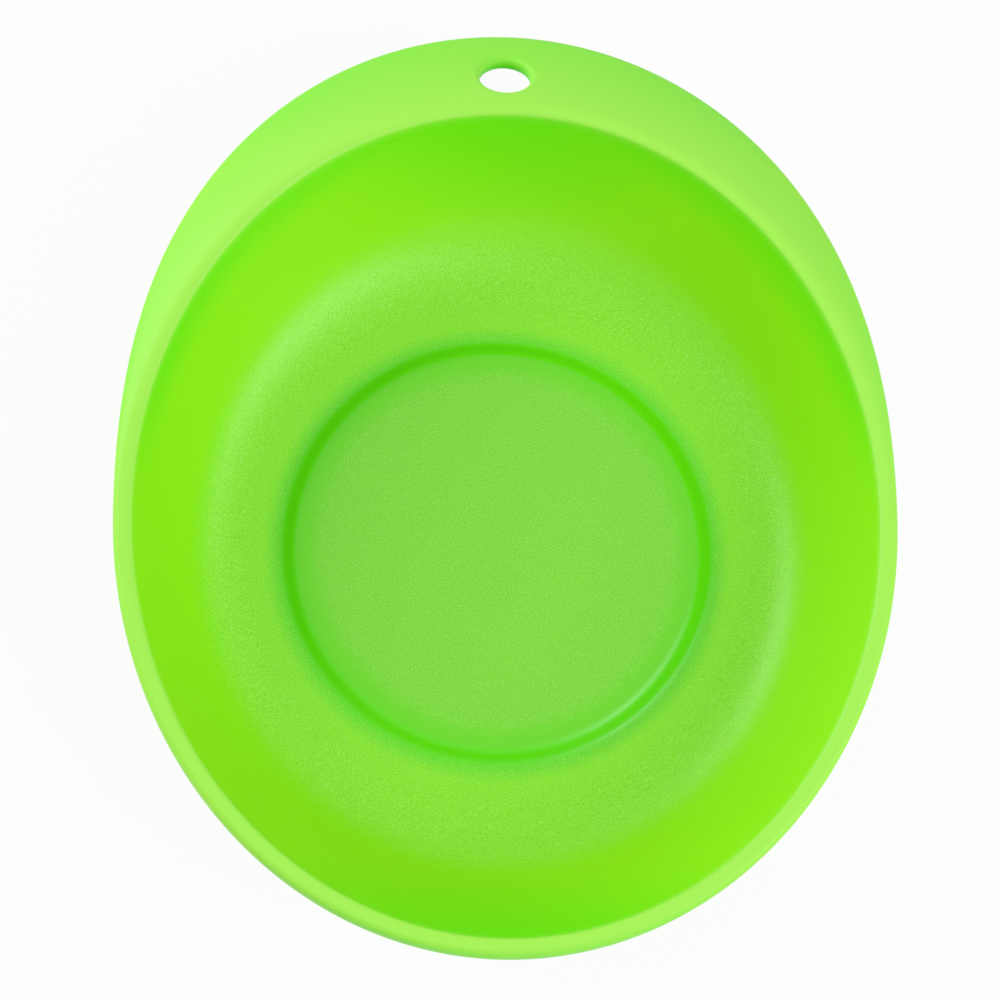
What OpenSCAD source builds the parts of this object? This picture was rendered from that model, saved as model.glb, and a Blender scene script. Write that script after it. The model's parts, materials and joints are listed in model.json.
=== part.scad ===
// Magnetic parts tray: a moulded oval bowl with a rear hanging lip and a ring magnet under its floor.
// The origin is on the magnet's axis at table level, +Z is up, and the lip is towards +Y.

/* [Bowl] */
// Width of the rim, side to side
rim_w = 108; // [100:1:130]
// Length of the rim without the lip, front to back
rim_l = 120.8; // [104:0.2:140]
// Depth from the rim down to the floor
bowl_depth = 21; // [16:1:32]
// Wall thickness of the moulding
wall = 2.2; // [1.8:0.1:2.6]
// Radius of the flat floor, where the wall starts to rise
floor_r = 35; // [33:0.5:40]
// Rounding of the rim's inner edge
rim_inner_round = 0.3; // [0.2:0.1:0.5]
// Rounding of the rim's outer edge
rim_outer_round = 1; // [0.6:0.1:1.2]
// Height of the rim's upright outer face
rim_face_h = 2; // [1.5:0.1:3]
// How far the rim stands proud of the wall below it
rim_bead = 0.6; // [0.4:0.1:1]

/* [Rear lip] */
// Reach of the lip behind the rim
lip_reach = 11.6; // [11:0.2:16]
// Drop of the lip's edge below the rim
lip_drop = 8.4; // [6:0.2:11]
// Diameter of the hanging hole
hang_hole_d = 7.2; // [5:0.1:8]
// Distance from the rim back to the middle of the hanging hole
hang_hole_back = 4.7; // [4.4:0.1:6]

/* [Raised disc] */
// Radius of the raised disc's side
disc_r = 28.8; // [28.6:0.1:30]
// Height of the disc above the floor
disc_rise = 2; // [1.6:0.1:3]
// Rounding of the disc's upper edge
disc_edge_round = 0.9; // [0.4:0.1:1.2]
// Fillet at the disc's foot
disc_foot_round = 0.9; // [0.4:0.1:1.2]

/* [Magnet] */
// Outer diameter of the ring magnet
magnet_d = 52; // [44:1:52]
// Bore of the ring magnet
magnet_bore_d = 22; // [21:0.5:26]
// Thickness of the ring magnet
magnet_t = 6; // [5:0.5:10]
// Thickness of the foam cushion above the magnet
cushion_t = 1.2; // [0.8:0.1:2]

/* [Base] */
// Gap between the magnet and the wall of its pocket
magnet_gap = 0.6; // [0.3:0.1:0.8]
// Thickness of the cover plate
cover_t = 2; // [1.8:0.1:3]
// Gap between the cover and the wall of the pocket
cover_gap = 0.2; // [0.1:0.05:0.3]
// Height of the spigot that centres the magnet
spigot_h = 2.4; // [1.5:0.1:4]
// Wall of the spigot
spigot_wall = 1.5; // [1:0.1:1.6]
// Gap between the spigot and the magnet's bore
spigot_gap = 0.3; // [0.2:0.05:0.4]
// Thickness of the rubber foot
foot_t = 1.6; // [1.2:0.1:2.5]
// How far the foot stands below the skirt
foot_proud = 0.6; // [0.3:0.1:0.9]
// Gap between the foot and the wall of the pocket
foot_gap = 0.4; // [0.2:0.1:0.8]
// Number of grip grooves in the foot
foot_grooves = 4; // [1:1:5]
// Width of a grip groove
groove_w = 1.2; // [0.8:0.1:1.6]
// Depth of a grip groove
groove_t = 0.5; // [0.3:0.1:0.8]

/* [Screws] */
// Number of cover screws
screw_count = 3; // [2:1:4]
// Radius of the circle that the screws stand on
screw_ring_r = 5.5; // [5:0.1:5.8]
// Diameter of a screw's shank
screw_d = 2.5; // [2:0.1:2.8]
// Length of a screw
screw_l = 7.5; // [6:0.1:8]
// Diameter of a screw's head
screw_head_d = 4.8; // [4.2:0.1:5.2]
// Height of a screw's countersunk head
screw_head_h = 1.3; // [1:0.1:1.6]
// Wall of a screw boss
boss_wall = 1.5; // [1.2:0.1:1.7]

/* [Hidden] */

// Faces round the bowl, and points along each curve of its section
turn_steps = 72;
wall_steps = 9;
round_steps = 4;
lip_steps = 6;
exact_fn = 96;

// Room that every cut runs past the surface that it opens
cut_over = 1;
// Room round a screw's shank in its boss, and round its head and shank in the cover
screw_bite_gap = 0.05;
screw_cover_gap = 0.25;
screw_seat_gap = 0.05;
// Depth left in a boss past the end of a screw
boss_spare = 0.6;
// Fillet between the skirt and the underside of the floor
skirt_fillet = 1.6;
// Rounding of the foot's lower edge
foot_round = 0.4;
// Cross recess of a screw: length, width and depth
cross_l = 2.6;
cross_w = 0.6;
cross_t = 0.7;
// Length of a screw's point
screw_point_l = 1.4;

// Where the wall's curve turns up, as a share of the way from floor to rim
wall_turn_share = 0.6;
// Largest rounding on the disc's side, as a share of the disc's height
disc_round_share = 0.45;
// Where the foot's grooves start and how far they spread, as shares of the foot's radius
groove_start_share = 0.3;
groove_spread_share = 0.56;

// Heights of the stack, from the table up
skirt_z = foot_proud;
cover_z = foot_t;
magnet_z = cover_z + cover_t;
cushion_z = magnet_z + magnet_t;
pocket_top_z = cushion_z + cushion_t;
disc_z = pocket_top_z + wall;
floor_z = disc_z - disc_rise;
rim_z = floor_z + bowl_depth;
disc_edge = min(disc_edge_round, disc_rise * disc_round_share);
disc_foot = min(disc_foot_round, disc_rise * disc_round_share);

// Radii of the base
pocket_r = magnet_d / 2 + magnet_gap;
skirt_r = pocket_r + wall;
cover_r = pocket_r - cover_gap;
foot_r = pocket_r - foot_gap;
spigot_r = magnet_bore_d / 2 - spigot_gap;
boss_r = screw_d / 2 + boss_wall;
boss_hole_r = screw_d / 2 + screw_bite_gap;

// The lip's slope, and the middle of the hanging hole on the lip's upper side
lip_slope = atan(lip_drop / lip_reach);
hang_hole_y = rim_l / 2 + hang_hole_back;
hang_hole_z = rim_z - hang_hole_back * tan(lip_slope);
hang_hole_cut = rim_outer_round + rim_face_h + rim_bead + cut_over;

// Radius of an ellipse with half axes a and b, in the direction turn
function oval_r(a, b, turn) = a * b / sqrt(pow(b * cos(turn), 2) + pow(a * sin(turn), 2));
function outer_r(turn) = oval_r(rim_w / 2, rim_l / 2, turn);
function inner_r(turn) = oval_r(rim_w / 2 - wall, rim_l / 2 - wall, turn);

// Share of the lip's full reach in the direction turn: nothing at the front, all of it at the back
function lip_share(turn) = turn < 180 ? pow(sin(turn), 2) : 0;

// Point at share s of a curve from p to r that leaves p towards q and reaches r from q
function curve_point(p, q, r, s) = (1 - s) * (1 - s) * p + 2 * (1 - s) * s * q + s * s * r;

// Points of a round of the given radius about a centre, from one angle to another
function round_points(centre, radius, from, to) =
    [for (i = [0:round_steps]) let (a = from + (to - from) * i / round_steps)
        centre + radius * [cos(a), sin(a)]];

// Upper side of the middle: the disc's edge, its foot and the floor
disc_points = concat(
    round_points([disc_r - disc_edge, disc_z - disc_edge], disc_edge, 90, 0),
    round_points([disc_r + disc_foot, floor_z + disc_foot], disc_foot, 180, 270)
);

// Inside of the wall from the floor up to the rim's inner rounding
function inside_points(turn) =
    let (low = [floor_r, floor_z])
    let (high = [inner_r(turn), rim_z - rim_inner_round])
    let (bend = [floor_r + (high[0] - floor_r) * wall_turn_share, floor_z])
    concat(
        [for (i = [0:wall_steps - 1]) curve_point(low, bend, high, i / wall_steps)],
        round_points(high + [rim_inner_round, 0], rim_inner_round, 180, 90)
    );

// Rim's outer edge, which the lip draws out behind
function lip_points(turn) =
    let (reach = lip_reach * lip_share(turn), drop = lip_drop * lip_share(turn))
    let (start = [outer_r(turn) - rim_outer_round, rim_z - rim_outer_round])
    [for (i = [0:lip_steps]) let (s = i / lip_steps, a = 90 * (1 - s))
        start + rim_outer_round * [cos(a), sin(a)] + s * [reach, -drop]];

// Outside from the lip's edge down the wall to the skirt's fillet
function outside_points(turn) =
    let (edge = lip_points(turn)[lip_steps])
    let (high = [outer_r(turn) - rim_bead, rim_z - rim_outer_round - rim_face_h - rim_bead])
    let (low = [floor_r, floor_z - wall])
    let (bend = [floor_r + (high[0] - floor_r) * wall_turn_share, low[1]])
    concat(
        [edge - [0, rim_face_h]],
        [for (i = [0:wall_steps]) curve_point(high, bend, low, i / wall_steps)],
        round_points([skirt_r + skirt_fillet, low[1] - skirt_fillet], skirt_fillet, 90, 180),
        [[skirt_r, skirt_z]]
    );

function section_points(turn) =
    concat(disc_points, inside_points(turn), lip_points(turn), outside_points(turn));

// The bowl's skin as a solid: sections all round, closed by a point on the axis above and below
module bowl_skin() {
    turns = [for (t = [0:turn_steps - 1]) 360 * t / turn_steps];
    count = len(section_points(0));
    last = count * turn_steps;
    points = concat(
        [for (turn = turns) for (p = section_points(turn)) [p[0] * cos(turn), p[0] * sin(turn), p[1]]],
        [[0, 0, disc_z], [0, 0, skirt_z]]
    );
    faces = concat(
        [for (t = [0:turn_steps - 1]) let (u = (t + 1) % turn_steps) [last, u * count, t * count]],
        [for (t = [0:turn_steps - 1]) let (u = (t + 1) % turn_steps)
            [last + 1, (t + 1) * count - 1, (u + 1) * count - 1]],
        [for (t = [0:turn_steps - 1]) let (u = (t + 1) % turn_steps) for (i = [0:count - 2]) each [
            [t * count + i, u * count + i, u * count + i + 1],
            [t * count + i, u * count + i + 1, t * count + i + 1]
        ]]
    );
    polyhedron(points, faces);
}

module on_screw_ring() {
    for (i = [0:screw_count - 1]) rotate([0, 0, 90 + 360 * i / screw_count])
        translate([screw_ring_r, 0, 0]) children();
}

// Hollow under the disc, round the screw bosses and with their holes
module magnet_pocket() {
    difference() {
        translate([0, 0, skirt_z - cut_over])
            cylinder(r = pocket_r, h = pocket_top_z - skirt_z + cut_over, $fn = exact_fn);
        on_screw_ring() translate([0, 0, magnet_z])
            cylinder(r = boss_r, h = disc_z - magnet_z, $fn = exact_fn);
    }
    on_screw_ring() translate([0, 0, cover_z])
        cylinder(r = boss_hole_r, h = screw_l + boss_spare, $fn = exact_fn);
}

module hang_hole() {
    translate([0, hang_hole_y, hang_hole_z]) rotate([-lip_slope, 0, 0])
        cylinder(d = hang_hole_d, h = 2 * hang_hole_cut, center = true, $fn = exact_fn);
}

module tray_bowl() {
    color("#7fe026") difference() {
        bowl_skin();
        magnet_pocket();
        hang_hole();
    }
}

// Flat ring standing on height z
module ring(outer, inner, z, h) {
    translate([0, 0, z]) difference() {
        cylinder(r = outer, h = h, $fn = exact_fn);
        translate([0, 0, -cut_over]) cylinder(r = inner, h = h + 2 * cut_over, $fn = exact_fn);
    }
}

module magnet_cushion() {
    color("#33363a") ring(magnet_d / 2, magnet_bore_d / 2, cushion_z, cushion_t);
}

module ring_magnet() {
    color("#4a4848") ring(magnet_d / 2, magnet_bore_d / 2, magnet_z, magnet_t);
}

module base_cover() {
    color("#6fcb20") difference() {
        union() {
            translate([0, 0, cover_z]) cylinder(r = cover_r, h = cover_t, $fn = exact_fn);
            ring(spigot_r, spigot_r - spigot_wall, cover_z + cover_t / 2, cover_t / 2 + spigot_h);
        }
        on_screw_ring() translate([0, 0, cover_z]) {
            translate([0, 0, -cut_over])
                cylinder(r = screw_d / 2 + screw_cover_gap, h = cover_t + 2 * cut_over, $fn = exact_fn);
            cylinder(r1 = screw_head_d / 2 + screw_seat_gap, r2 = screw_d / 2 + screw_seat_gap,
                h = screw_head_h, $fn = exact_fn);
        }
    }
}

// One screw with its head at z = 0 and its point upwards
module cover_screw() {
    difference() {
        rotate_extrude($fn = exact_fn) polygon([
            [0, 0],
            [screw_head_d / 2, 0],
            [screw_d / 2, screw_head_h],
            [screw_d / 2, screw_l - screw_point_l],
            [0, screw_l]
        ]);
        for (turn = [0, 90]) rotate([0, 0, turn])
            translate([-cross_l / 2, -cross_w / 2, -cut_over]) cube([cross_l, cross_w, cross_t + cut_over]);
    }
}

module cover_screws() {
    color("#b9bcc0") on_screw_ring() translate([0, 0, cover_z]) cover_screw();
}

module rubber_foot() {
    groove_start_r = foot_r * groove_start_share;
    groove_step = foot_r * groove_spread_share / foot_grooves;
    color("#26282a") difference() {
        rotate_extrude($fn = exact_fn) polygon(concat(
            [[0, foot_t], [0, 0]],
            round_points([foot_r - foot_round, foot_round], foot_round, 270, 360),
            [[foot_r, foot_t]]
        ));
        for (i = [0:foot_grooves - 1]) let (groove_r = groove_start_r + i * groove_step)
            ring(groove_r + groove_w, groove_r, -cut_over, groove_t + cut_over);
    }
}

tray_bowl();
magnet_cushion();
ring_magnet();
base_cover();
cover_screws();
rubber_foot();
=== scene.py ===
"""Dressed model of a magnetic parts tray: lime bowl, foam ring, magnet, cover, screws and foot.

A mesh is modelled in millimetres and scaled to metres when it becomes an object.
"""

import json
import logging
import math
from dataclasses import dataclass, field
from enum import Enum

import bmesh
import bpy
from bmesh.types import BMEdge, BMesh, BMVert
from mathutils import Matrix, Vector
from mathutils.bvhtree import BVHTree


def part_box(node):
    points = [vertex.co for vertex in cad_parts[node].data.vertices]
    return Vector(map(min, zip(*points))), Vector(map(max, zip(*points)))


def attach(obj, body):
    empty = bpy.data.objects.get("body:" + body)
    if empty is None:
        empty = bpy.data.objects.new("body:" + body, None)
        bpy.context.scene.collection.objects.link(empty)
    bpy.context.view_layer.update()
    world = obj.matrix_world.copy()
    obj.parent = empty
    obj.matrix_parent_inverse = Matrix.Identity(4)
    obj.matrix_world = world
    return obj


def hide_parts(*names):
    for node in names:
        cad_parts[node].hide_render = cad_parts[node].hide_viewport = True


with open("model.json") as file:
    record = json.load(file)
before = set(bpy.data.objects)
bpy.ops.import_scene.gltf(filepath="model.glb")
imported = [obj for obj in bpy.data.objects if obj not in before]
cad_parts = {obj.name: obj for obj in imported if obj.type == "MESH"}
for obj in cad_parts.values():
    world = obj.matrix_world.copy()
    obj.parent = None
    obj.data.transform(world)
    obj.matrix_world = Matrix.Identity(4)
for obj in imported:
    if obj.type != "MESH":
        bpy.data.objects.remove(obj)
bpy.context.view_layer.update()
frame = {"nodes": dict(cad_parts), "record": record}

BODY = "root"
MM = 0.001
FULL_TURN = 2 * math.pi
OUTWARD = 0
UPWARD = 90
INWARD = 180
MERGE_DISTANCE = 1e-4
POLYPROPYLENE_IOR = 1.49
# Numbers of a mix node's sockets for its factor and two colours, and for the mixed colour
MIX_INPUTS = (0, 6, 7)
MIX_RESULT = 2
# Range that a noise mostly keeps to
NOISE_LOW = 0.3
NOISE_HIGH = 0.7
LOG = logging.getLogger("parts_tray")

Colour = tuple[float, float, float, float]
Socket = bpy.types.NodeSocket


class Node(Enum):
    """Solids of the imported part."""

    BOWL = "tray_bowl"
    CUSHION = "magnet_cushion"
    MAGNET = "ring_magnet"
    COVER = "base_cover"
    SCREWS = "cover_screws"
    FOOT = "rubber_foot"


class Slot(Enum):
    """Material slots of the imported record."""

    BOWL = "bowl_plastic"
    CUSHION = "cushion_foam"
    MAGNET = "magnet_ferrite"
    COVER = "cover_plastic"
    SCREW = "screw_steel"
    FOOT = "foot_rubber"


class Side(Enum):
    """Side of the lip that a mouth of the hanging hole opens on."""

    UPPER = 1
    UNDER = -1


def arc(centre: Vector, radius: float, start: float, end: float, steps: int) -> list[Vector]:
    """Points of a round stretch of a section.

    Args:
        centre: middle of the round
        radius: its radius
        start: direction of the first point from the middle, in degrees
        end: direction of the last point
        steps: number of edges between them

    Returns:
        The points in order, both ends included.
    """
    turns = [math.radians(start + (end - start) * i / steps) for i in range(steps + 1)]
    return [centre + radius * Vector((math.cos(a), math.sin(a))) for a in turns]


def bend(first: Vector, corner: Vector, last: Vector, steps: int, pull: float = 1) -> list[Vector]:
    """Points of a curve that leaves one point towards a corner and reaches another point from it.

    Args:
        first: where the curve starts
        corner: the corner that it rounds off
        last: where the curve ends
        steps: number of edges along it
        pull: how strongly the corner draws the curve; above one it turns more tightly

    Returns:
        The points in order, both ends included.
    """
    points = []
    for share in (i / steps for i in range(steps + 1)):
        weights = ((1 - share) ** 2, 2 * pull * (1 - share) * share, share**2)
        points.append((weights[0] * first + weights[1] * corner + weights[2] * last) / sum(weights))
    return points


def rounded(corners: list[Vector], radius: float, steps: int) -> list[Vector]:
    """An open outline with its inner corners rounded off.

    Args:
        corners: the outline's corners in order
        radius: distance from a corner at which its rounding starts
        steps: number of edges round a corner

    Returns:
        The rounded outline's points.
    """
    points = [corners[0]]
    for before, corner, after in zip(corners, corners[1:], corners[2:]):
        first = corner + radius * (before - corner).normalized()
        last = corner + radius * (after - corner).normalized()
        points.extend(bend(first, corner, last, steps))
    return points + [corners[-1]]


def spin_round(bm: BMesh, verts: list[BMVert], columns: int, axis_at: Vector = Vector((0, 0, 0))) -> None:
    """Joins vertices into a line and spins it once round an upright axis.

    Args:
        bm: mesh that the vertices are part of
        verts: the line's vertices, in order
        columns: number of faces round the axis
        axis_at: a point on the axis
    """
    edges = [bm.edges.new(pair) for pair in zip(verts, verts[1:])]
    bmesh.ops.spin(
        bm,
        geom=verts + edges,
        cent=axis_at,
        axis=(0, 0, 1),
        dvec=(0, 0, 0),
        angle=FULL_TURN,
        steps=columns,
        use_merge=True,
    )


def lathe(bm: BMesh, outline: list[Vector], columns: int, axis_at: Vector = Vector((0, 0, 0))) -> None:
    """Spins an outline of radii and heights into a closed shell.

    Args:
        bm: mesh that the shell is added to
        outline: points of radius and height, from the axis to the axis or closed on itself
        columns: number of faces round the shell
        axis_at: a point on the shell's upright axis
    """
    spin_round(bm, [bm.verts.new(axis_at + Vector((p.x, 0, p.y))) for p in outline], columns, axis_at)


def to_piece(bm: BMesh, name: str, material: bpy.types.Material) -> bpy.types.Object:
    """Turns a mesh in millimetres into a smooth object in metres that rides on the tray.

    Args:
        bm: the finished mesh, which is freed
        name: name of the piece
        material: its finish

    Returns:
        The linked object.
    """
    bmesh.ops.remove_doubles(bm, verts=bm.verts, dist=MERGE_DISTANCE)
    bmesh.ops.recalc_face_normals(bm, faces=bm.faces)
    bmesh.ops.scale(bm, vec=(MM, MM, MM), verts=bm.verts)
    for face in bm.faces:
        face.smooth = True
    mesh = bpy.data.meshes.new(name)
    bm.to_mesh(mesh)
    bm.free()
    mesh.materials.append(material)
    piece = bpy.data.objects.new(name, mesh)
    bpy.context.scene.collection.objects.link(piece)
    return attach(piece, BODY)


def subdivide(piece: bpy.types.Object, levels: int) -> None:
    """Finishes a piece with a subdivision surface."""
    modifier = piece.modifiers.new("smooth", "SUBSURF")
    modifier.levels = levels
    modifier.render_levels = levels


def box_mm(node: Node) -> tuple[Vector, Vector]:
    """Lowest and highest corner of a solid, in millimetres."""
    low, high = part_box(node.value)
    return low / MM, high / MM


class ShaderGraph:
    """A material's nodes round one principled shader, joined socket by socket."""

    def __init__(self, name: str) -> None:
        """Starts an empty material.

        Args:
            name: the material's name
        """
        self.material = bpy.data.materials.new(name)
        self.material.use_nodes = True
        self.tree = self.material.node_tree
        self.tree.nodes.clear()
        self.surface = self.tree.nodes.new("ShaderNodeBsdfPrincipled")
        output = self.tree.nodes.new("ShaderNodeOutputMaterial")
        self.tree.links.new(self.surface.outputs["BSDF"], output.inputs["Surface"])
        coordinates = self.tree.nodes.new("ShaderNodeTexCoord")
        self.place: Socket = coordinates.outputs["Object"]

    def put(self, target: Socket, value: object) -> None:
        """Links a socket to a socket, or sets it to a value."""
        if isinstance(value, Socket):
            self.tree.links.new(value, target)
        else:
            target.default_value = value

    def dress(self, **values: object) -> None:
        """Sets the shader's own sockets.

        Args:
            values: value or socket by the input's name, in lower case with underscores
        """
        names = {i.name.lower().replace(" ", "_"): i for i in self.surface.inputs}
        for name, value in values.items():
            self.put(names[name], value)

    def math(self, operation: str, first: object, second: object = 0.0) -> Socket:
        """A sum, product or comparison of two values.

        Args:
            operation: Blender's name of the operation
            first: first value or socket
            second: second value or socket

        Returns:
            The result's socket.
        """
        node = self.tree.nodes.new("ShaderNodeMath")
        node.operation = operation
        self.put(node.inputs[0], first)
        self.put(node.inputs[1], second)
        return node.outputs[0]

    def spread(self, value: Socket, low: float, high: float, to_low: float, to_high: float) -> Socket:
        """A value mapped smoothly from one range to another.

        Args:
            value: the socket to map
            low: value that becomes to_low
            high: value that becomes to_high
            to_low: start of the new range
            to_high: end of the new range

        Returns:
            The mapped value's socket, held within the new range.
        """
        node = self.tree.nodes.new("ShaderNodeMapRange")
        node.interpolation_type = "SMOOTHSTEP"
        ends = {"From Min": low, "From Max": high, "To Min": to_low, "To Max": to_high}
        for name, number in ends.items():
            node.inputs[name].default_value = number
        self.put(node.inputs["Value"], value)
        return node.outputs["Result"]

    def scaled_place(self, scale: tuple[float, float, float]) -> Socket:
        """The point on the object with each axis stretched or dropped."""
        node = self.tree.nodes.new("ShaderNodeMapping")
        node.inputs["Scale"].default_value = scale
        self.put(node.inputs["Vector"], self.place)
        return node.outputs["Vector"]

    def distance(self, axes: str) -> Socket:
        """How far the point is from the tray's middle, in millimetres.

        Args:
            axes: letters of the axes that count

        Returns:
            The distance's socket.
        """
        node = self.tree.nodes.new("ShaderNodeVectorMath")
        node.operation = "LENGTH"
        x, y, z = (float(axis in axes) / MM for axis in "XYZ")
        self.put(node.inputs[0], self.scaled_place((x, y, z)))
        return node.outputs["Value"]

    def along(self, axis: str) -> Socket:
        """How far the point is from the tray's middle along one axis, in millimetres, with its sign."""
        node = self.tree.nodes.new("ShaderNodeVectorMath")
        node.operation = "DOT_PRODUCT"
        self.put(node.inputs[0], self.place)
        node.inputs[1].default_value = [float(letter == axis) / MM for letter in "XYZ"]
        return node.outputs["Value"]

    def painted(self, name: str) -> Socket:
        """A share that the mesh carries on its vertices."""
        node = self.tree.nodes.new("ShaderNodeAttribute")
        node.attribute_name = name
        return node.outputs["Fac"]

    def noise(self, cell: float, detail: float, place: Socket | None = None) -> Socket:
        """Soft noise.

        Args:
            cell: size of its spots, in millimetres
            detail: number of finer layers
            place: coordinates to use in place of the object's own

        Returns:
            The noise's socket, about one half on average.
        """
        node = self.tree.nodes.new("ShaderNodeTexNoise")
        node.inputs["Scale"].default_value = 1 / (cell * MM)
        node.inputs["Detail"].default_value = detail
        self.put(node.inputs["Vector"], place or self.place)
        return node.outputs[0]

    def swing(self, noise: Socket, low: float, high: float) -> Socket:
        """A value that swings with a noise, over the range that the noise mostly keeps to.

        Args:
            noise: the noise
            low: value where the noise is low
            high: value where the noise is high

        Returns:
            The value's socket.
        """
        return self.spread(noise, NOISE_LOW, NOISE_HIGH, low, high)

    def cells(self, cell: float) -> Socket:
        """Distance from the middle of the nearest of many scattered cells.

        Args:
            cell: size of a cell, in millimetres

        Returns:
            The distance's socket, as a share of a cell.
        """
        node = self.tree.nodes.new("ShaderNodeTexVoronoi")
        node.inputs["Scale"].default_value = 1 / (cell * MM)
        self.put(node.inputs["Vector"], self.place)
        return node.outputs["Distance"]

    def blend(self, share: object, first: object, second: object) -> Socket:
        """A colour between two.

        Args:
            share: how much of the second colour shows
            first: colour or socket at a share of nothing
            second: colour or socket at a share of one

        Returns:
            The mixed colour's socket.
        """
        node = self.tree.nodes.new("ShaderNodeMix")
        node.data_type = "RGBA"
        for number, value in zip(MIX_INPUTS, (share, first, second)):
            self.put(node.inputs[number], value)
        return node.outputs[MIX_RESULT]

    def bump(self, height: Socket, depth: float, under: Socket | None = None) -> Socket:
        """A relief in the surface.

        Args:
            height: the relief's height, from nothing to one
            depth: what a height of one stands for, in millimetres
            under: normal of a coarser relief that this one lies on

        Returns:
            The normal's socket.
        """
        node = self.tree.nodes.new("ShaderNodeBump")
        node.inputs["Distance"].default_value = depth * MM
        self.put(node.inputs["Height"], height)
        if under is not None:
            self.put(node.inputs["Normal"], under)
        return node.outputs["Normal"]


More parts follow.
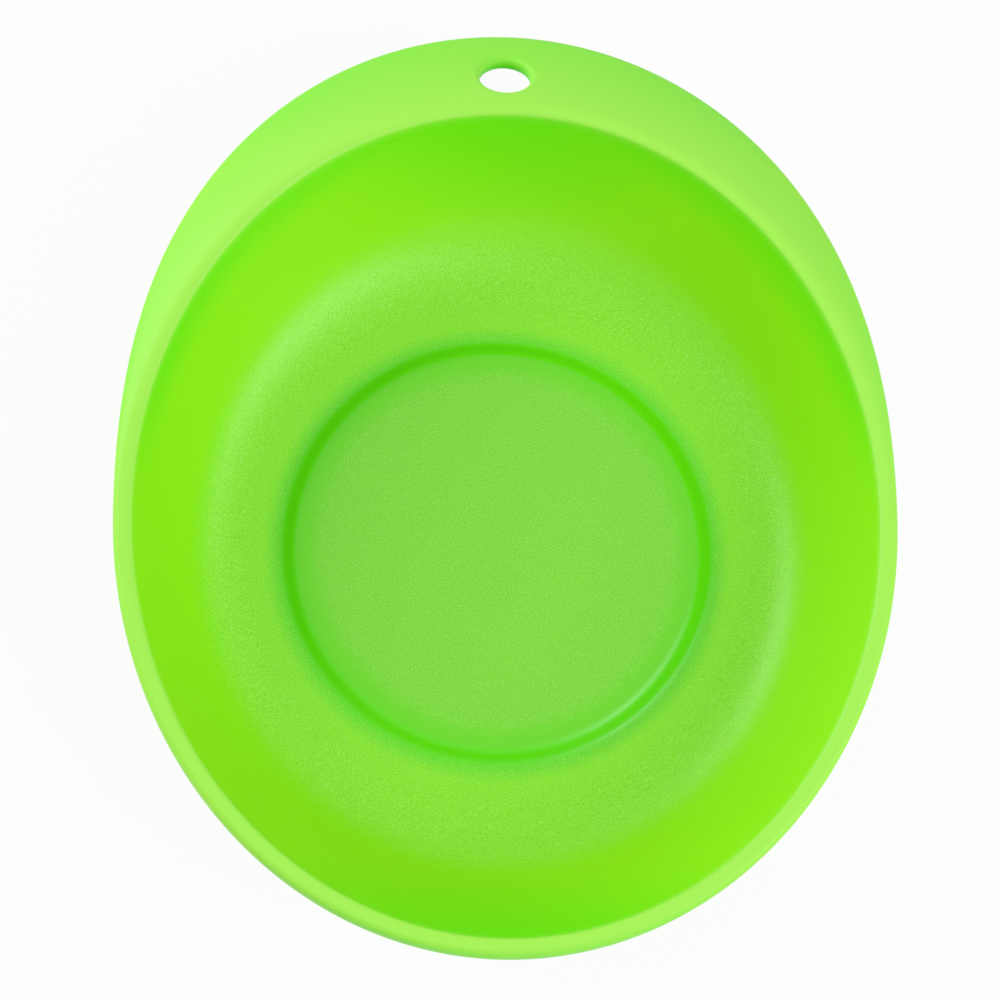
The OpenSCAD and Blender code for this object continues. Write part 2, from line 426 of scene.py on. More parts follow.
@dataclass(frozen=True)
class LimePlastic:
    """Satin lime polypropylene, with a fine spark-eroded grain where the mould was left rough, and light and
    shade painted into its colour: painted shade on the disc's margin and step, a painted shadow on the floor
    round the step's foot, painted shade at the wall's front and rear ends and under the rear rim, a painted
    sheen on the rim and lip, and painted shade and glints in the grain.

    Lengths are in millimetres. A name in _r is a radius from the tray's axis, one in _z a height above the
    table, and a fade is half the width of the change at its radius.
    """

    name: str = "lime_polypropylene"
    # vertex layer that holds each ring's share of the painted sheen on the rim and lip, which also makes
    # them more satin
    rim_sheen_layer: str = "rim"
    wall_colour: Colour = (0.275, 0.76, 0.003, 1)
    # painted shade: deeper colour that the wall takes towards its front and rear ends, which the lamps light
    # less
    end_shade_colour: Colour = (0.14, 0.74, 0.0, 1)
    floor_colour: Colour = (0.25, 0.76, 0.006, 1)
    disc_colour: Colour = (0.19, 0.64, 0.024, 1)
    # painted shade: deeper colour on the disc's smooth margin, where it slopes away from the lamps
    margin_shade_colour: Colour = (0.14, 0.65, 0.006, 1)
    # painted shade on the step's face round the disc
    step_shade_colour: Colour = (0.125, 0.70, 0.0, 1)
    # painted shadow that the step casts on the floor round its foot
    foot_shadow_colour: Colour = (0.14, 0.69, 0.006, 1)
    # painted sheen: paler colour on the rim and lip
    rim_sheen_colour: Colour = (0.33, 0.79, 0.065, 1)
    # painted shade in the grain's pits and painted glints on its peaks
    pit_shade_colour: Colour = (0.10, 0.54, 0.0, 1)
    glint_colour: Colour = (0.50, 0.95, 0.25, 1)
    # Painted shade: the wall deepens to its end colour towards its front and rear ends, and high on the rear
    # wall under the rim
    end_shade_start: float = 44.0
    end_shade_full: float = 60.0
    shade_start_z: float = 24.0
    shade_full_z: float = 30.5
    shade_full_y: float = 22.0
    shade_share: float = 0.8
    grain_start_z: float = 11.4
    grain_end_z: float = 17.0
    grain_cell: float = 0.2
    grain_detail: int = 1
    grain_depth: float = 0.08
    # share of the painted shade and glints in the grain
    grain_shade_and_glint_share: float = 0.36
    pit_level: float = 0.28
    plain_level: float = 0.52
    glint_level: float = 0.76
    margin_r: float = 25.6
    margin_fade: float = 1.6
    step_r: float = 28.1
    step_fade: float = 0.4
    gloss_r: float = 29.0
    gloss_fade: float = 0.4
    foot_r: float = 30.5
    foot_fade: float = 0.7
    floor_r: float = 33.2
    wall_r: float = 35.2
    roughness: float = 0.33
    margin_roughness: float = 0.30
    roughness_swing: float = 0.03
    cloud: float = 14.0
    cloud_detail: int = 3
    rim_roughness: float = 0.54
    satin_share: float = 0.4

    def _beyond(self, graph: ShaderGraph, radius: float, fade: float) -> Socket:
        """Share that goes from nothing to one where a radius is passed."""
        return graph.spread(graph.distance("XY"), radius - fade, radius + fade, 0, 1)

    def _on_wall(self, graph: ShaderGraph) -> Socket:
        """Share that is one on the smooth wall, above the grained floor."""
        outside = graph.spread(graph.distance("XY"), self.floor_r, self.wall_r, 0, 1)
        high = graph.spread(graph.distance("Z"), self.grain_start_z, self.grain_end_z, 0, 1)
        return graph.math("MULTIPLY", outside, high)

    def _from_margin(self, graph: ShaderGraph, radius: float, fade: float) -> Socket:
        """Share that is one from the disc's smooth margin out to a radius."""
        inside = graph.math("SUBTRACT", 1, self._beyond(graph, radius, fade))
        return graph.math("MULTIPLY", self._beyond(graph, self.margin_r, self.margin_fade), inside)

    def _colour(self, graph: ShaderGraph, grained: Socket, grain: Socket) -> Socket:
        """Colour of the plastic, zone by zone from the disc outwards, with painted shade on the disc's
        margin and step, a painted shadow on the floor round the step's foot, painted shade at the wall's
        ends and under the rear rim, a painted sheen on the rim and lip, and painted shade and glints in the
        grain.

        Args:
            graph: the material's nodes
            grained: share that is one where the plastic has its grain
            grain: the grain itself

        Returns:
            The colour's socket.
        """
        # Painted shade: the wall's colour deepens towards its front and rear ends and high on the rear wall
        # under the rim
        end_shade = graph.spread(graph.distance("Y"), self.end_shade_start, self.end_shade_full, 0, 1)
        high = graph.spread(graph.along("Z"), self.shade_start_z, self.shade_full_z, 0, 1)
        behind = graph.spread(graph.along("Y"), 0, self.shade_full_y, 0, self.shade_share)
        deep = graph.math("MAXIMUM", end_shade, graph.math("MULTIPLY", high, behind))
        wall = graph.blend(deep, self.wall_colour, self.end_shade_colour)
        on_floor = graph.spread(graph.distance("XY"), self.foot_r, self.floor_r, 0, 1)
        # Painted shade on the disc's margin
        colour = graph.blend(self._beyond(graph, self.margin_r, self.margin_fade), self.disc_colour,
                             self.margin_shade_colour)
        # Painted shade on the step round the disc
        colour = graph.blend(self._beyond(graph, self.step_r, self.step_fade), colour, self.step_shade_colour)
        # Painted shadow on the floor round the step's foot
        colour = graph.blend(self._beyond(graph, self.foot_r, self.foot_fade), colour, self.foot_shadow_colour)
        colour = graph.blend(on_floor, colour, self.floor_colour)
        colour = graph.blend(self._on_wall(graph), colour, wall)
        # Painted sheen on the rim and lip
        colour = graph.blend(graph.painted(self.rim_sheen_layer), colour, self.rim_sheen_colour)
        # Painted shade in the grain's pits and painted glints on its peaks
        low = graph.spread(grain, self.pit_level, self.plain_level, self.grain_shade_and_glint_share, 0)
        top = graph.spread(grain, self.plain_level, self.glint_level, 0, self.grain_shade_and_glint_share)
        colour = graph.blend(graph.math("MULTIPLY", low, grained), colour, self.pit_shade_colour)
        return graph.blend(graph.math("MULTIPLY", top, grained), colour, self.glint_colour)

    def material(self) -> bpy.types.Material:
        """Builds the finish.

        Returns:
            The material.
        """
        graph = ShaderGraph(self.name)
        on_step = self._from_margin(graph, self.foot_r, self.foot_fade)
        on_margin = self._from_margin(graph, self.gloss_r, self.gloss_fade)
        smooth = graph.math("MAXIMUM", self._on_wall(graph), on_step)
        grained = graph.math("SUBTRACT", 1, smooth)
        grain = graph.noise(self.grain_cell, self.grain_detail)
        clouds = graph.noise(self.cloud, self.cloud_detail)
        even = graph.spread(on_margin, 0, 1, self.roughness, self.margin_roughness)
        uneven = graph.swing(clouds, -self.roughness_swing, self.roughness_swing)
        more = self.rim_roughness - self.roughness
        satin = graph.spread(graph.painted(self.rim_sheen_layer), 0, self.satin_share, 0, more)
        graph.dress(
            base_color=self._colour(graph, grained, grain),
            roughness=graph.math("ADD", graph.math("ADD", even, uneven), satin),
            ior=POLYPROPYLENE_IOR,
            normal=graph.bump(graph.math("MULTIPLY", grain, grained), self.grain_depth),
        )
        return graph.material


@dataclass(frozen=True)
class CoverPlastic:
    """The same lime polypropylene with an even, matt mould texture."""

    name: str = "matt_lime_polypropylene"
    colour: Colour = (0.18, 0.62, 0.02, 1)
    deep_colour: Colour = (0.15, 0.56, 0.012, 1)
    grain_cell: float = 0.4
    grain_detail: int = 2
    grain_depth: float = 0.015
    cloud: float = 9.0
    cloud_detail: int = 3
    low_roughness: float = 0.5
    high_roughness: float = 0.62

    def material(self) -> bpy.types.Material:
        """Builds the finish.

        Returns:
            The material.
        """
        graph = ShaderGraph(self.name)
        grain = graph.noise(self.grain_cell, self.grain_detail)
        clouds = graph.noise(self.cloud, self.cloud_detail)
        graph.dress(
            base_color=graph.blend(graph.swing(clouds, 0, 1), self.colour, self.deep_colour),
            roughness=graph.swing(grain, self.low_roughness, self.high_roughness),
            ior=POLYPROPYLENE_IOR,
            normal=graph.bump(grain, self.grain_depth),
        )
        return graph.material


@dataclass(frozen=True)
class Ferrite:
    """Ground grey ferrite: fine crystals, with the grinder's lines across the faces."""

    name: str = "ground_ferrite"
    colour: Colour = (0.07, 0.068, 0.068, 1)
    pale_colour: Colour = (0.15, 0.147, 0.145, 1)
    crystal: float = 0.15
    crystal_detail: int = 3
    crystal_start: float = 0.45
    crystal_full: float = 0.75
    crystal_share: float = 0.6
    line: float = 0.25
    line_detail: int = 2
    line_squeeze: float = 0.03
    line_depth: float = 0.01
    low_roughness: float = 0.45
    high_roughness: float = 0.65

    def material(self) -> bpy.types.Material:
        """Builds the finish.

        Returns:
            The material.
        """
        graph = ShaderGraph(self.name)
        crystals = graph.noise(self.crystal, self.crystal_detail)
        pale = graph.spread(crystals, self.crystal_start, self.crystal_full, 0, self.crystal_share)
        lines = graph.noise(self.line, self.line_detail, graph.scaled_place((self.line_squeeze, 1, 1)))
        graph.dress(
            base_color=graph.blend(pale, self.colour, self.pale_colour),
            roughness=graph.swing(lines, self.low_roughness, self.high_roughness),
            normal=graph.bump(lines, self.line_depth),
        )
        return graph.material


@dataclass(frozen=True)
class Foam:
    """Black closed-cell foam with its cut cells showing, their hollows darkened by painted shade."""

    name: str = "closed_cell_foam"
    colour: Colour = (0.045, 0.045, 0.05, 1)
    # painted shade: darker colour in the hollows of the cut cells
    cell_shade_colour: Colour = (0.018, 0.018, 0.02, 1)
    cell: float = 0.45
    cell_start: float = 0.25
    cell_full: float = 0.6
    cell_depth: float = 0.08
    patch: float = 3.0
    patch_detail: int = 2
    low_roughness: float = 0.85
    high_roughness: float = 0.95
    sheen: float = 0.1

    def material(self) -> bpy.types.Material:
        """Builds the finish.

        Returns:
            The material.
        """
        graph = ShaderGraph(self.name)
        walls = graph.spread(graph.cells(self.cell), self.cell_start, self.cell_full, 0, 1)
        patches = graph.noise(self.patch, self.patch_detail)
        graph.dress(
            # Painted shade in the cut cells' hollows
            base_color=graph.blend(walls, self.cell_shade_colour, self.colour),
            roughness=graph.swing(patches, self.low_roughness, self.high_roughness),
            sheen_weight=self.sheen,
            normal=graph.bump(walls, self.cell_depth),
        )
        return graph.material


@dataclass(frozen=True)
class ZincSteel:
    """Zinc plated steel with faint drawing marks along the screws."""

    name: str = "zinc_plated_steel"
    colour: Colour = (0.62, 0.63, 0.64, 1)
    warm_colour: Colour = (0.55, 0.54, 0.50, 1)
    mark: float = 0.12
    mark_detail: int = 2
    mark_squeeze: float = 0.08
    mark_depth: float = 0.004
    stain: float = 1.5
    stain_detail: int = 3
    stain_start: float = 0.45
    stain_full: float = 0.7
    stain_share: float = 0.6
    low_roughness: float = 0.25
    high_roughness: float = 0.4

    def material(self) -> bpy.types.Material:
        """Builds the finish.

        Returns:
            The material.
        """
        graph = ShaderGraph(self.name)
        marks = graph.noise(self.mark, self.mark_detail, graph.scaled_place((1, 1, self.mark_squeeze)))
        stains = graph.noise(self.stain, self.stain_detail)
        warm = graph.spread(stains, self.stain_start, self.stain_full, 0, self.stain_share)
        graph.dress(
            base_color=graph.blend(warm, self.colour, self.warm_colour),
            metallic=1.0,
            roughness=graph.swing(marks, self.low_roughness, self.high_roughness),
            normal=graph.bump(marks, self.mark_depth),
        )
        return graph.material


@dataclass(frozen=True)
class Rubber:
    """Matt black rubber with a faint bloom."""

    name: str = "matt_rubber"
    colour: Colour = (0.022, 0.023, 0.024, 1)
    bloom_colour: Colour = (0.05, 0.051, 0.052, 1)
    pore: float = 0.2
    pore_detail: int = 2
    pore_depth: float = 0.015
    bloom: float = 6.0
    bloom_detail: int = 4
    bloom_start: float = 0.4
    bloom_full: float = 0.75
    bloom_share: float = 0.7
    low_roughness: float = 0.68
    high_roughness: float = 0.82

    def material(self) -> bpy.types.Material:
        """Builds the finish.

        Returns:
            The material.
        """
        graph = ShaderGraph(self.name)
        pores = graph.noise(self.pore, self.pore_detail)
        clouds = graph.noise(self.bloom, self.bloom_detail)
        bloom = graph.spread(clouds, self.bloom_start, self.bloom_full, 0, self.bloom_share)
        graph.dress(
            base_color=graph.blend(bloom, self.colour, self.bloom_colour),
            roughness=graph.swing(pores, self.low_roughness, self.high_roughness),
            normal=graph.bump(pores, self.pore_depth),
        )
        return graph.material


@dataclass(frozen=True)
class Row:
    """One ring of the bowl's section at its side, where the rim is narrowest and has no lip.

    Attributes:
        radius: distance from the bowl's axis
        height: height above the table
        stretch: share of the rim's oval that the ring follows, from the round floor to the rim
        lip: share of the lip's reach and drop that the ring follows
        rim: share of the painted sheen, a paler colour on the rim and lip, that the ring shows
    """

    radius: float
    height: float
    stretch: float = 0.0
    lip: float = 0.0
    rim: float = 0.0


@dataclass
class TrayBowl:
    """The lime moulding: raised disc, floor, wall, rim, rear lip with its hanging hole, skirt and pocket."""

    wall: float = 2.2
    floor_r: float = 35.0
    outside_turn_share: float = 0.6
    inside_turn_share: float = 0.45
    inside_pull: float = 2.0
    rim_w: float = 2.7
    rim_inner_round: float = 0.9
    rim_outer_round: float = 1.0
    rim_face_h: float = 2.0
    rim_bead: float = 0.6
    lip_drop: float = 8.4
    # share of the rim's painted sheen that the lip's edge loses
    lip_sheen_loss: float = 0.6
    disc_rise: float = 2.0
    disc_flat_r: float = 23.5
    disc_edge_r: float = 28.45
    disc_crown: float = 0.45
    disc_foot_r: float = 30.3
    disc_edge_round: float = 0.9
    disc_foot_round: float = 1.0
    magnet_gap: float = 0.6
    skirt_fillet: float = 1.6
    skirt_round: float = 0.5
    boss_ring_r: float = 5.5
    boss_count: int = 3
    boss_r: float = 2.75
    boss_hole_r: float = 1.3
    boss_sink: float = 0.5
    boss_spare: float = 0.6
    boss_round: float = 0.25
    mouth_round: float = 0.9
    under_mouth_round: float = 0.9
    disc_ring_shares: tuple[float, ...] = (0, 0.35, 0.7, 0.95)
    lip_edge_shares: tuple[float, ...] = (0.2, 0.8)
    columns: int = 144
    boss_columns: int = 24
    wall_steps: int = 14
    lip_steps: int = 8
    round_steps: int = 4
    patch_columns: int = 4
    patch_rows: int = 5
    smooth_levels: int = 1
    finish: LimePlastic = field(default_factory=LimePlastic)

    def __post_init__(self) -> None:
        """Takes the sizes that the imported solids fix."""
        low, high = box_mm(Node.BOWL)
        self.half_width = high.x
        self.half_length = -low.y
        self.rim_z = high.z
        self.skirt_z = low.z
        self.lip_reach = high.y - self.half_length
        self.pocket_top_z = box_mm(Node.CUSHION)[1].z
        self.disc_z = self.pocket_top_z + self.wall
        self.floor_z = self.disc_z - self.disc_rise
        self.boss_z = box_mm(Node.MAGNET)[0].z
        self.boss_hole_top_z = box_mm(Node.SCREWS)[1].z + self.boss_spare
        self.pocket_r = box_mm(Node.MAGNET)[1].x + self.magnet_gap
        self.skirt_r = self.pocket_r + self.wall
        hole = next(m for m in frame["record"]["mounts"] if m["kind"] == "bore")
        self.hole_centre = Vector(hole["pos_m"]) / MM
        self.hole_axis = Vector(hole["axis"]).normalized()
        self.hole_r = hole["dims"]["r_mm"]

    def _stretched(self, points: list[Vector], last: float) -> list[Row]:
        """Rows of a wall that goes from the round floor to an oval edge.

        Args:
            points: the wall's points, in radius and height
            last: radius at which the wall follows the whole oval

        Returns:
            The rows in the points' order.
        """
        return [Row(p.x, p.y, (p.x - self.floor_r) / (last - self.floor_r)) for p in points]

    def _disc_rows(self) -> list[Row]:
        """Rows of the raised disc and of the floor round it."""
        flat = Vector((self.disc_flat_r, self.disc_z))
        edge = Vector((self.disc_edge_r, self.disc_z - self.disc_crown))
        foot = Vector((self.disc_foot_r, self.floor_z))
        brow = Vector(((flat.x + edge.x) / 2, self.disc_z))
        points = [Vector((share * flat.x, self.disc_z)) for share in self.disc_ring_shares]
        points += bend(flat, brow, edge, self.round_steps)[:-1]
        points += rounded([points.pop(), edge, foot], self.disc_edge_round, self.round_steps)[:-1]
        floor = Vector(((foot.x + self.floor_r) / 2, self.floor_z))
        points += rounded([edge, foot, floor], self.disc_foot_round, self.round_steps)[1:]
        return [Row(p.x, p.y) for p in points]

    def _inside_rows(self) -> list[Row]:
        """Rows of the wall's inside and of the rim's inner edge."""
        inner_r = self.half_width - self.rim_w
        first = Vector((self.floor_r, self.floor_z))
        last = Vector((inner_r, self.rim_z - self.rim_inner_round))
        corner = Vector((self.floor_r + (inner_r - self.floor_r) * self.inside_turn_share, self.floor_z))
        rows = self._stretched(bend(first, corner, last, self.wall_steps, self.inside_pull)[:-1], inner_r)
        centre = last + Vector((self.rim_inner_round, 0))
        edge = arc(centre, self.rim_inner_round, INWARD, UPWARD, self.round_steps)
        shares = [min(1, 2 * i / self.round_steps) for i in range(len(edge))]
        return rows + [Row(p.x, p.y, 1, rim=share) for share, p in zip(shares, edge)]

    def _lip_rows(self) -> list[Row]:
        """Rows of the rim's outer rounding, which the lip draws out behind, and of its upright edge."""
        centre = Vector((self.half_width - self.rim_outer_round, self.rim_z - self.rim_outer_round))
        points = arc(centre, self.rim_outer_round, UPWARD, OUTWARD, self.lip_steps)
        shares = [i / self.lip_steps for i in range(self.lip_steps + 1)]
        # The painted sheen fades along the lip towards its edge
        rows = [Row(p.x, p.y, 1, s, 1 - s * self.lip_sheen_loss) for s, p in zip(shares, points)]
        deep = 1 - self.lip_sheen_loss
        end = points[-1]
        return rows + [Row(end.x, end.y - s * self.rim_face_h, 1, 1, deep) for s in self.lip_edge_shares]

    def _under_lip_rows(self) -> list[Row]:
        """Rows of the lip's underside, from its edge back to the wall."""
        start = Vector((self.half_width, self.rim_z - self.rim_outer_round - self.rim_face_h))
        shares = [i / self.lip_steps for i in range(self.lip_steps + 1)]
        return [Row(start.x - s * self.rim_bead, start.y - s * self.rim_bead, 1, 1 - s) for s in shares]

    def _outside_rows(self) -> list[Row]:
        """Rows of the wall's outside, below the lip, down to the skirt's fillet."""
        high = self._under_lip_rows()[-1]
        first = Vector((high.radius, high.height))
        last = Vector((self.floor_r, self.floor_z - self.wall))
        corner = Vector((self.floor_r + (first.x - self.floor_r) * self.outside_turn_share, last.y))
        rows = self._stretched(bend(first, corner, last, self.wall_steps)[1:], first.x)
        centre = Vector((self.skirt_r + self.skirt_fillet, last.y - self.skirt_fillet))
        fillet = arc(centre, self.skirt_fillet, UPWARD, INWARD, self.round_steps)
        return rows + [Row(p.x, p.y) for p in fillet]

    def _pocket_rows(self) -> list[Row]:
        """Rows of the skirt's lower edge and of the pocket for the magnet."""
        corners = [
            Vector((self.skirt_r, self.floor_z - self.wall - 2 * self.skirt_fillet)),
            Vector((self.skirt_r, self.skirt_z)),
            Vector((self.pocket_r, self.skirt_z)),
            Vector((self.pocket_r, self.pocket_top_z)),
            Vector((0, self.pocket_top_z)),
        ]
        return [Row(p.x, p.y) for p in rounded(corners, self.skirt_round, self.round_steps)]

    def _shape(self, bm: BMesh, rows: list[Row]) -> None:
        """Moves the spun section's vertices out to the oval rim and the lip.

        Args:
            bm: mesh spun from the rows
            rows: the section's rows, which the vertices' layer counts
        """
        layer = bm.verts.layers.int["row"]
        for vert in bm.verts:
            row = rows[vert[layer]]
            turn = math.atan2(vert.co.y, vert.co.x)
            oval = math.hypot(self.half_length * math.cos(turn), self.half_width * math.sin(turn))
            grow = self.half_width * self.half_length / oval - self.half_width
            lip = row.lip * max(math.sin(turn), 0) ** 2
            radius = row.radius + row.stretch * grow + lip * self.lip_reach
            height = row.height - lip * self.lip_drop
            vert.co = Vector((radius * math.cos(turn), radius * math.sin(turn), height))

    def _open_patch(self, bm: BMesh, first_row: int) -> list[BMEdge]:
        """Takes out the faces where the hanging hole comes through one side of the lip.

        Args:
            bm: the shaped bowl
            first_row: number of the row where the patch starts

        Returns:
            The edges round the gap.
        """
        layer = bm.verts.layers.int["row"]
        half_turn = FULL_TURN / self.columns * (self.patch_columns + 1) / 2
        wanted = range(first_row, first_row + self.patch_rows + 1)
        inside = {
            v
            for v in bm.verts
            if v[layer] in wanted and abs(math.atan2(v.co.x, v.co.y)) < half_turn
        }
        faces = [f for f in bm.faces if inside.issuperset(f.verts)]
        chosen = set(faces)
        edges = [e for f in faces for e in f.edges if len(chosen.intersection(e.link_faces)) == 1]
        bmesh.ops.delete(bm, geom=faces, context="FACES")
        return edges

    def _draw_ring(self, bm: BMesh, edges: list[BMEdge]) -> tuple[list[BMEdge], list[BMVert]]:
        """Extrudes a loop of edges into a new loop at the same place.

        Args:
            bm: mesh that the loop is part of
            edges: the loop's edges

        Returns:
            The new loop's edges and vertices.
        """
        made = bmesh.ops.extrude_edge_only(bm, edges=edges)["geom"]
        verts = [v for v in made if isinstance(v, BMVert)]
        fresh = set(verts)
        return [e for e in made if isinstance(e, BMEdge) and fresh.issuperset(e.verts)], verts

    def _mouth(
        self, bm: BMesh, skin: BVHTree, edges: list[BMEdge], side: Side, rounding: float
    ) -> list[BMEdge]:
        """Closes the gap on one side of the lip in to the hanging hole's rounded mouth.

        Args:
            bm: the shaped bowl with its gap
            skin: the bowl's surface without the gap
            edges: the edges round the gap
            side: side of the lip that the gap is on
            rounding: radius of the mouth's rounding

        Returns:
            The edges of the mouth's inner end.
        """
        across = Vector((1, 0, 0))
        along = self.hole_axis.cross(across)
        outward = side.value * self.hole_axis
        ring, verts = self._draw_ring(bm, edges)
        spots = {v: v.co - self.hole_centre for v in verts}
        turns = {v: math.atan2(spot.dot(along), spot.dot(across)) for v, spot in spots.items()}
        ordered = sorted(verts, key=turns.get)
        step = FULL_TURN / len(ordered)
        start = sum(turns[v] - i * step for i, v in enumerate(ordered)) / len(ordered)
        # A subdivided ring draws in, each vertex a third of the way to the middle of its two neighbours
        limit_scale = 3 / (2 + math.cos(step))
        spokes = [math.cos(start + i * step) * across + math.sin(start + i * step) * along
                  for i in range(len(ordered))]
        levels = []
        for vert, spoke in zip(ordered, spokes):
            origin = self.hole_centre + (self.hole_r + rounding) * spoke
            hit = skin.ray_cast(origin, outward)[0]
            levels.append((hit - origin).length)
            vert.co = hit
        for a in arc(Vector((0, 0)), 1, OUTWARD, UPWARD, self.round_steps)[1:]:
            ring, verts = self._draw_ring(bm, ring)
            ordered = self._follow(ordered, verts)
            radius = (self.hole_r + rounding * (1 - a.y)) * limit_scale
            for vert, spoke, level in zip(ordered, spokes, levels):
                vert.co = self.hole_centre + radius * spoke + (level - rounding * (1 - a.x)) * outward
        return ring

    def _follow(self, ordered: list[BMVert], verts: list[BMVert]) -> list[BMVert]:
        """Puts a new loop's vertices in the order of the loop that they were drawn from."""
        fresh = set(verts)
        return [next(e.other_vert(v) for e in v.link_edges if e.other_vert(v) in fresh) for v in ordered]

    def _cut_hang_hole(self, bm: BMesh, upper_row: int, under_row: int) -> None:
        """Cuts the hanging hole through the lip.

        Args:
            bm: the shaped bowl
            upper_row: first row of the patch on the lip's upper side
            under_row: first row of the patch on its underside
        """
        skin = BVHTree.FromBMesh(bm)
        upper = self._open_patch(bm, upper_row)
        under = self._open_patch(bm, under_row)
        upper = self._mouth(bm, skin, upper, Side.UPPER, self.mouth_round)
        under = self._mouth(bm, skin, under, Side.UNDER, self.under_mouth_round)
        bmesh.ops.bridge_loops(bm, edges=upper + under)

    def _add_bosses(self, bm: BMesh) -> None:
        """Adds the screw bosses that stand down from the pocket's ceiling."""
        corners = [
            Vector((0, self.boss_hole_top_z)),
            Vector((self.boss_hole_r, self.boss_hole_top_z)),
            Vector((self.boss_hole_r, self.boss_z)),
            Vector((self.boss_r, self.boss_z)),
            Vector((self.boss_r, self.pocket_top_z + self.boss_sink)),
            Vector((0, self.pocket_top_z + self.boss_sink)),
        ]
        outline = rounded(corners, self.boss_round, self.round_steps)
        for i in range(self.boss_count):
            turn = math.pi / 2 + FULL_TURN * i / self.boss_count
            foot = self.boss_ring_r * Vector((math.cos(turn), math.sin(turn), 0))
            lathe(bm, outline, self.boss_columns, foot)

    def build(self) -> bpy.types.Object:
        """Models and dresses the bowl.

        Returns:
            The bowl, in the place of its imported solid.
        """
        above = self._disc_rows() + self._inside_rows()
        lip = self._lip_rows()
        under = self._under_lip_rows()
        rows = above + lip + under + self._outside_rows() + self._pocket_rows()
        bm = bmesh.new()
        layer = bm.verts.layers.int.new("row")
        rim_sheen_layer = bm.verts.layers.float.new(self.finish.rim_sheen_layer)
        section = [bm.verts.new((row.radius, 0, row.height)) for row in rows]
        for number, (vert, row) in enumerate(zip(section, rows)):
            vert[layer] = number
            # share of the painted sheen on the rim and lip
            vert[rim_sheen_layer] = row.rim
        spin_round(bm, section, self.columns)
        bmesh.ops.remove_doubles(bm, verts=bm.verts, dist=MERGE_DISTANCE)
        self._shape(bm, rows)
        upper_row = len(above) + 1
        under_row = len(above) + len(lip) + self.lip_steps - self.patch_rows
        self._cut_hang_hole(bm, upper_row, under_row)
        self._add_bosses(bm)
        bowl = to_piece(bm, "lime_bowl", self.finish.material())
        subdivide(bowl, self.smooth_levels)
        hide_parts(Node.BOWL.value)
        return bowl


@dataclass
class MagnetPack:
    """The ring magnet and the foam cushion above it."""

    bore_r: float = 11.0
    edge_chamfer: float = 0.5
    chamfer_steps: int = 1
    cushion_round: float = 0.5
    cushion_fill: float = 0.9
    round_steps: int = 4
    columns: int = 96
    magnet_finish: Ferrite = field(default_factory=Ferrite)
    cushion_finish: Foam = field(default_factory=Foam)

    def _ring(self, node: Node, rounding: float, steps: int) -> BMesh:
        """A ring with eased edges in a solid's place.

        Args:
            node: solid that the ring stands for
            rounding: size of the easing
            steps: number of faces round an edge

        Returns:
            The ring's mesh.
        """
        low, high = box_mm(node)
        corners = [
            Vector((self.bore_r, (low.z + high.z) / 2)),
            Vector((self.bore_r, low.z)),
            Vector((high.x, low.z)),
            Vector((high.x, high.z)),
            Vector((self.bore_r, high.z)),
            Vector((self.bore_r, (low.z + high.z) / 2)),
        ]
        bm = bmesh.new()
        lathe(bm, rounded(corners, rounding, steps), self.columns)
        return bm

    def build(self) -> list[bpy.types.Object]:
        """Models and dresses the magnet and its cushion.

        Returns:
            The two pieces.
        """
        ring = self._ring(Node.MAGNET, self.edge_chamfer, self.chamfer_steps)
        magnet = to_piece(ring, "ferrite_ring", self.magnet_finish.material())
        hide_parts(Node.MAGNET.value)
        ring = self._ring(Node.CUSHION, self.cushion_round, self.round_steps)
        cushion = to_piece(ring, "foam_ring", self.cushion_finish.material())
        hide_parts(Node.CUSHION.value)
        return [magnet, cushion]


@dataclass
class BaseClosure:
    """The cover plate and its screws, whose solids have their true shape already."""

    cover_finish: CoverPlastic = field(default_factory=CoverPlastic)
    screw_finish: ZincSteel = field(default_factory=ZincSteel)

    def dress(self) -> list[bpy.types.Object]:
        """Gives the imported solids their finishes.

        Returns:
            The two pieces.
        """
        finishes = {
            Node.COVER: (self.cover_finish, Slot.COVER),
            Node.SCREWS: (self.screw_finish, Slot.SCREW),
        }
        pieces = []
        for node, (finish, slot) in finishes.items():
            piece = frame["nodes"][node.value]
            piece.data.materials.clear()
            piece.data.materials.append(finish.material())
            pieces.append(piece)
        return pieces


@dataclass
class RubberFoot:
    """The rubber disc that the tray stands on, with rounded grip grooves."""

    groove_count: int = 4
    groove_w: float = 1.2
    groove_t: float = 0.5
    groove_start_share: float = 0.3
    groove_spread_share: float = 0.56
    rounding: float = 0.22
    round_steps: int = 4
    columns: int = 96
    finish: Rubber = field(default_factory=Rubber)

    def build(self) -> bpy.types.Object:
        """Models and dresses the foot.

        Returns:
            The foot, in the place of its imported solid.
        """
        low, high = box_mm(Node.FOOT)
        corners = [Vector((0, high.z)), Vector((high.x, high.z)), Vector((high.x, low.z))]
        step = high.x * self.groove_spread_share / self.groove_count
        for i in reversed(range(self.groove_count)):
            inner = high.x * self.groove_start_share + i * step
            outer = inner + self.groove_w
            corners.append(Vector((outer, low.z)))
            corners.append(Vector((outer, low.z + self.groove_t)))
            corners.append(Vector((inner, low.z + self.groove_t)))
            corners.append(Vector((inner, low.z)))
        corners.append(Vector((0, low.z)))
        bm = bmesh.new()
        lathe(bm, rounded(corners, self.rounding, self.round_steps), self.columns)
        foot = to_piece(bm, "grip_foot", self.finish.material())
        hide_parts(Node.FOOT.value)
        return foot


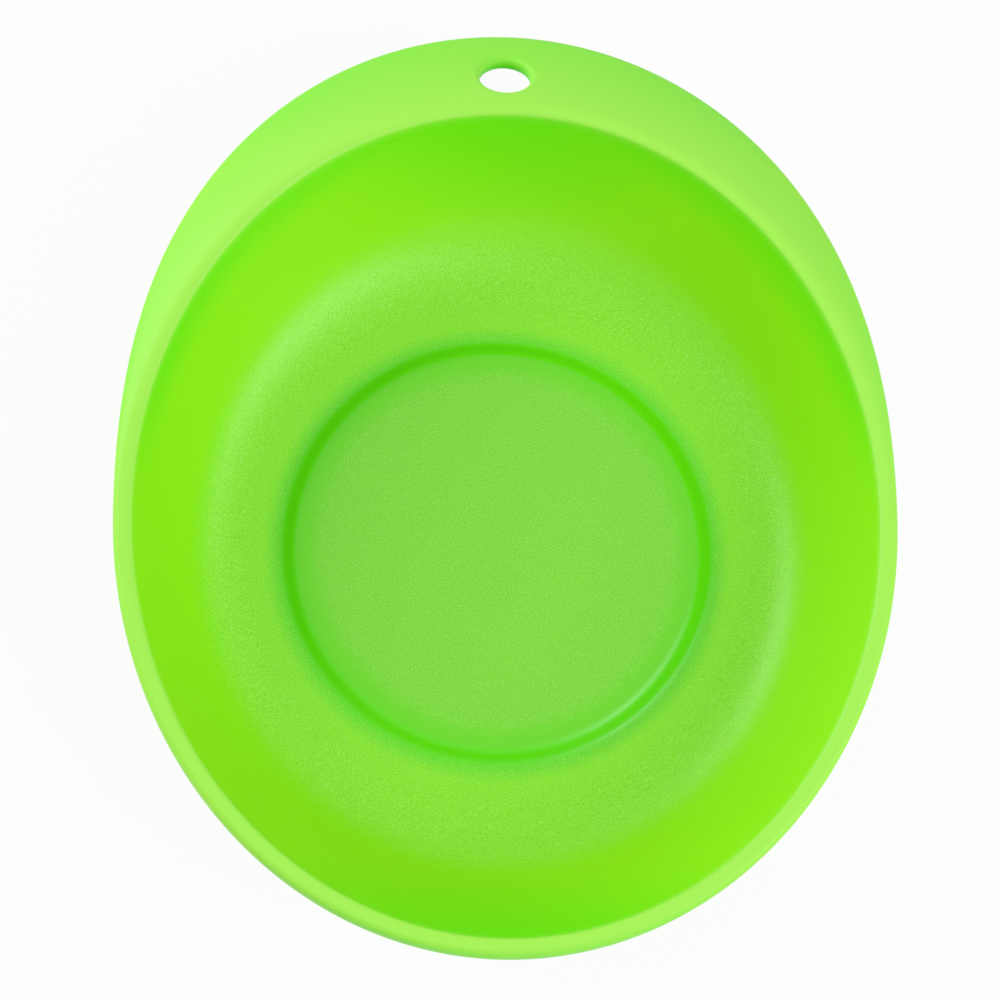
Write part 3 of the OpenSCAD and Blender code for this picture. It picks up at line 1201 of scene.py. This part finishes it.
@dataclass(frozen=True)
class PhotoCamera:
    """The camera of the photograph: nearly overhead, a little in front and to the left of the tray."""

    distance: float = 0.9
    tilt: float = 12.73
    side: float = 3.94
    lens: float = 232.9
    target: tuple[float, float, float] = (-0.18, 5.56, 20.0)
    near: float = 0.01
    far: float = 20.0

    def place(self) -> bpy.types.Object:
        """Puts the camera up and makes it the scene's own.

        Returns:
            The camera.
        """
        west = math.sin(math.radians(self.side))
        south = math.sin(math.radians(self.tilt))
        back = Vector((-west, -south, math.sqrt(1 - west**2 - south**2)))
        right = Vector((0, 1, 0)).cross(back).normalized()
        pose = Matrix((right, back.cross(right), back)).transposed().to_4x4()
        pose.translation = Vector(self.target) * MM + self.distance * back
        data = bpy.data.cameras.new("photo_camera")
        data.lens = self.lens
        data.clip_start = self.near
        data.clip_end = self.far
        camera = bpy.data.objects.new("photo_camera", data)
        camera.matrix_world = pose
        bpy.context.scene.collection.objects.link(camera)
        bpy.context.scene.camera = camera
        return camera


@dataclass(frozen=True)
class SoftBox:
    """A square area lamp that points at the tray.

    Attributes:
        name: name of the lamp
        azimuth: where it stands, in degrees from the tray's right towards its rear
        elevation: how high it stands, in degrees above the table
        power: its power, in watts
        distance: how far away, in metres
        size: length of its side, in metres
    """

    name: str
    azimuth: float
    elevation: float
    power: float
    distance: float = 1.0
    size: float = 0.6

    def place(self) -> bpy.types.Object:
        """Puts the lamp up.

        Returns:
            The lamp.
        """
        turn = math.radians(self.azimuth)
        rise = math.radians(self.elevation)
        flat = math.cos(rise)
        towards = Vector((flat * math.cos(turn), flat * math.sin(turn), math.sin(rise)))
        data = bpy.data.lights.new(self.name, "AREA")
        data.size = self.size
        data.energy = self.power
        lamp = bpy.data.objects.new(self.name, data)
        lamp.location = towards * self.distance
        lamp.rotation_euler = towards.to_track_quat("Z", "Y").to_euler()
        bpy.context.scene.collection.objects.link(lamp)
        return lamp


@dataclass(frozen=True)
class Studio:
    """White surroundings: floor, sky and two soft boxes."""

    floor_half: float = 4.0
    floor_drop: float = 0.00005
    floor_colour: Colour = (0.82, 0.82, 0.82, 1)
    floor_white_share: float = 0.92
    sky_light: float = 0.65
    boxes: tuple[SoftBox, ...] = (
        SoftBox("box_rear_left", 150, 20, 5.6),
        SoftBox("box_front_right", 330, 40, 4.95),
    )

    def _seen(self, tree: bpy.types.NodeTree) -> Socket:
        """Socket that is one for rays that look at the background, straight or in a reflection.

        Args:
            tree: node tree to add the test to

        Returns:
            The test's socket.
        """
        path = tree.nodes.new("ShaderNodeLightPath")
        seen = path.outputs["Is Camera Ray"]
        for name in ("Is Glossy Ray", "Is Transmission Ray"):
            larger = tree.nodes.new("ShaderNodeMath")
            larger.operation = "MAXIMUM"
            tree.links.new(seen, larger.inputs[0])
            tree.links.new(path.outputs[name], larger.inputs[1])
            seen = larger.outputs[0]
        return seen

    def _sky(self) -> None:
        """Lights the tray from all round and shows white behind it."""
        world = bpy.data.worlds.new("white_surroundings")
        world.use_nodes = True
        tree = world.node_tree
        background = tree.nodes["Background"]
        background.inputs["Color"].default_value = (1, 1, 1, 1)
        strength = tree.nodes.new("ShaderNodeMapRange")
        strength.inputs["To Min"].default_value = self.sky_light
        tree.links.new(self._seen(tree), strength.inputs["Value"])
        tree.links.new(strength.outputs["Result"], background.inputs["Strength"])
        bpy.context.scene.world = world

    def _floor(self) -> bpy.types.Object:
        """Lays the floor, which looks white and keeps the tray's shadow.

        Returns:
            The floor.
        """
        material = bpy.data.materials.new("white_floor")
        material.use_nodes = True
        tree = material.node_tree
        tree.nodes.clear()
        matt = tree.nodes.new("ShaderNodeBsdfDiffuse")
        matt.inputs["Color"].default_value = self.floor_colour
        white = tree.nodes.new("ShaderNodeEmission")
        share = tree.nodes.new("ShaderNodeMath")
        share.operation = "MULTIPLY"
        share.inputs[1].default_value = self.floor_white_share
        tree.links.new(self._seen(tree), share.inputs[0])
        mixed = tree.nodes.new("ShaderNodeMixShader")
        output = tree.nodes.new("ShaderNodeOutputMaterial")
        tree.links.new(share.outputs[0], mixed.inputs["Fac"])
        tree.links.new(matt.outputs[0], mixed.inputs[1])
        tree.links.new(white.outputs[0], mixed.inputs[2])
        tree.links.new(mixed.outputs[0], output.inputs["Surface"])
        bm = bmesh.new()
        bmesh.ops.create_grid(bm, x_segments=1, y_segments=1, size=self.floor_half)
        bmesh.ops.translate(bm, verts=bm.verts, vec=(0, 0, -self.floor_drop))
        mesh = bpy.data.meshes.new("floor")
        bm.to_mesh(mesh)
        bm.free()
        mesh.materials.append(material)
        floor = bpy.data.objects.new("floor", mesh)
        bpy.context.scene.collection.objects.link(floor)
        return floor

    def build(self) -> None:
        """Sets the floor, the sky, the lamps and the plain view transform."""
        bpy.context.scene.view_settings.view_transform = "Standard"
        self._sky()
        self._floor()
        for box in self.boxes:
            box.place()


def main() -> None:
    """Builds the tray piece by piece, then the studio and the camera."""
    logging.basicConfig(level=logging.INFO, format="%(message)s")
    PhotoCamera().place()
    Studio().build()
    pieces = [TrayBowl().build()]
    pieces += MagnetPack().build()
    pieces += BaseClosure().dress()
    pieces.append(RubberFoot().build())
    for piece in pieces:
        LOG.info("%s: %d vertices", piece.name, len(piece.data.vertices))


if __name__ == "__main__":
    main()
